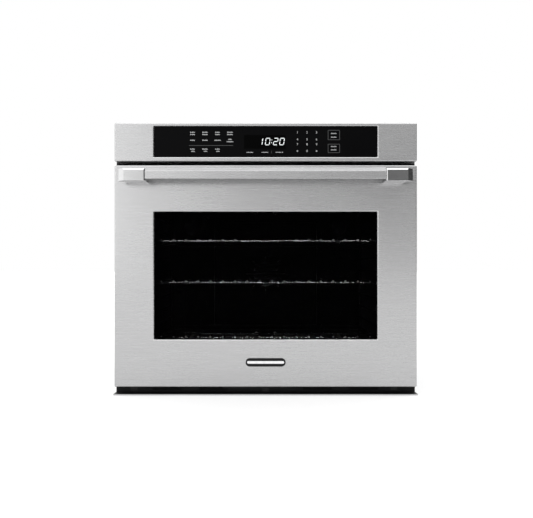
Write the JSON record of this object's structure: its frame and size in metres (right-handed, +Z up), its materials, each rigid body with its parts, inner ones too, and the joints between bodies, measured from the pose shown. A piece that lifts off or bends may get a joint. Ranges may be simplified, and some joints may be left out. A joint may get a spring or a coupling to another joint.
{
  "type": "built-in wall oven",
  "caption": "Built-in single wall oven with a drop-down window door, bar handle, touch control panel, wire racks and cooling duct.",
  "frame": {"origin": "on the underside of the case, midway between the sides and midway from the handle's front to the rear panel", "axes": "+X to the right of a person facing the door, +Y to the rear, +Z up; the door faces -Y"},
  "size_m": [0.765, 0.696, 0.684],
  "materials": {
    "brushed_stainless": "horizontal brushing",
    "galvanised_sheet": "galvanised sheet",
    "grey_enamel": "speckled dark enamel",
    "chromed_wire": "bright plated wire",
    "black_glass": "black tinted",
    "tinted_glass": "grey tinted",
    "black_paint": "satin black",
    "glass_fibre_blanket": "glass-fibre blanket",
    "circuit_board": "solder-masked circuit board",
    "heater_sheath": "heat-darkened sheath",
    "spring_steel": "oiled steel",
    "black_moulding": "moulded",
    "woven_gasket": "woven glass-fibre tube"
  },
  "bodies": {
    "case": {"base_pan": "galvanised_sheet", "top_cover": "galvanised_sheet", "left_side_panel": "galvanised_sheet", "right_side_panel": "galvanised_sheet", "rear_panel": "galvanised_sheet", "front_frame": "black_paint", "lower_vent_trim": "black_paint", "cavity_liner": "grey_enamel", "insulation_blanket": "glass_fibre_blanket", "left_rack_ladder": "chromed_wire", "right_rack_ladder": "chromed_wire", "broil_element": "heater_sheath", "bake_element": "heater_sheath", "convection_element": "heater_sheath", "fan_baffle": "grey_enamel", "convection_motor": "galvanised_sheet", "lamp_lens_left": "tinted_glass", "lamp_lens_right": "tinted_glass", "temperature_probe": "chromed_wire", "door_gasket": "woven_gasket", "control_bezel": "brushed_stainless", "control_glass": "black_glass", "display_module": "black_moulding", "control_board": "circuit_board", "control_tray": "galvanised_sheet", "power_board": "circuit_board", "junction_box": "galvanised_sheet", "blower_housing": "galvanised_sheet", "blower_bracket": "galvanised_sheet", "blower_motor": "galvanised_sheet", "vent_duct": "galvanised_sheet", "latch_housing": "galvanised_sheet", "door_switch": "black_moulding", "hinge_arm_left": "spring_steel", "hinge_arm_right": "spring_steel", "hinge_receiver_left": "galvanised_sheet", "hinge_receiver_right": "galvanised_sheet"},
    "door": {"door_skin": "brushed_stainless", "outer_door_glass": "black_glass", "middle_door_glass": "tinted_glass", "inner_door_glass": "tinted_glass", "door_insulation": "glass_fibre_blanket", "door_liner": "grey_enamel", "handle_bar": "brushed_stainless", "handle_post_left": "brushed_stainless", "handle_post_right": "brushed_stainless", "badge": "black_paint", "hinge_channel_left": "galvanised_sheet", "hinge_channel_right": "galvanised_sheet", "hinge_spring_left": "spring_steel", "hinge_spring_right": "spring_steel"},
    "rack_upper": {"upper_rack": "chromed_wire"},
    "rack_middle": {"middle_rack": "chromed_wire"},
    "rack_lower": {"lower_rack": "chromed_wire"},
    "fan": {"convection_fan": "galvanised_sheet"},
    "blower": {"blower_wheel": "galvanised_sheet"},
    "latch": {"latch_hook": "spring_steel"},
    "plunger": {"switch_plunger": "black_moulding"},
    "rod_left": {"hinge_rod_left": "spring_steel"},
    "rod_right": {"hinge_rod_right": "spring_steel"}
  },
  "joints": [
    {"name": "door_hinge", "type": "hinge", "parent": "case", "child": "door", "pos_m": [0, -0.266, 0.035], "axis": [1, 0, 0], "range_deg": [0, 90], "stiffness_Nm_per_rad": 25, "springref_deg": -20.05},
    {"name": "plunger_slide", "type": "slide", "parent": "case", "child": "plunger", "axis": [0, -1, 0], "range_m": [0, 0.006]},
    {"name": "rod_slide_left", "type": "slide", "parent": "door", "child": "rod_left", "axis": [0, 0, 1], "range_m": [0, 0.0145], "deforming": ["hinge_spring_left"]},
    {"name": "rod_slide_right", "type": "slide", "parent": "door", "child": "rod_right", "axis": [0, 0, 1], "range_m": [0, 0.0145], "deforming": ["hinge_spring_right"]},
    {"name": "upper_rack_slide", "type": "slide", "parent": "case", "child": "rack_upper", "axis": [0, -1, 0], "range_m": [0, 0.035]},
    {"name": "middle_rack_slide", "type": "slide", "parent": "case", "child": "rack_middle", "axis": [0, -1, 0], "range_m": [0, 0.035]},
    {"name": "lower_rack_slide", "type": "slide", "parent": "case", "child": "rack_lower", "axis": [0, -1, 0], "range_m": [0, 0.035]},
    {"name": "fan_spin", "type": "hinge", "parent": "case", "child": "fan", "pos_m": [0, 0.2325, 0.3], "axis": [0, 1, 0], "continuous": true},
    {"name": "blower_spin", "type": "hinge", "parent": "case", "child": "blower", "pos_m": [0, 0.103, 0.562], "axis": [0, 0, 1], "continuous": true},
    {"name": "latch_turn", "type": "hinge", "parent": "case", "child": "latch", "pos_m": [0.3, -0.207, 0.568], "axis": [0, 0, 1], "range_deg": [0, 14]}
  ],
  "couplings": [
    {"joint": "plunger_slide", "follows": "door_hinge", "m_per_rad": 0.0038},
    {"joint": "rod_slide_left", "follows": "door_hinge", "m_per_rad": 0.009},
    {"joint": "rod_slide_right", "follows": "door_hinge", "m_per_rad": 0.009}
  ]
}
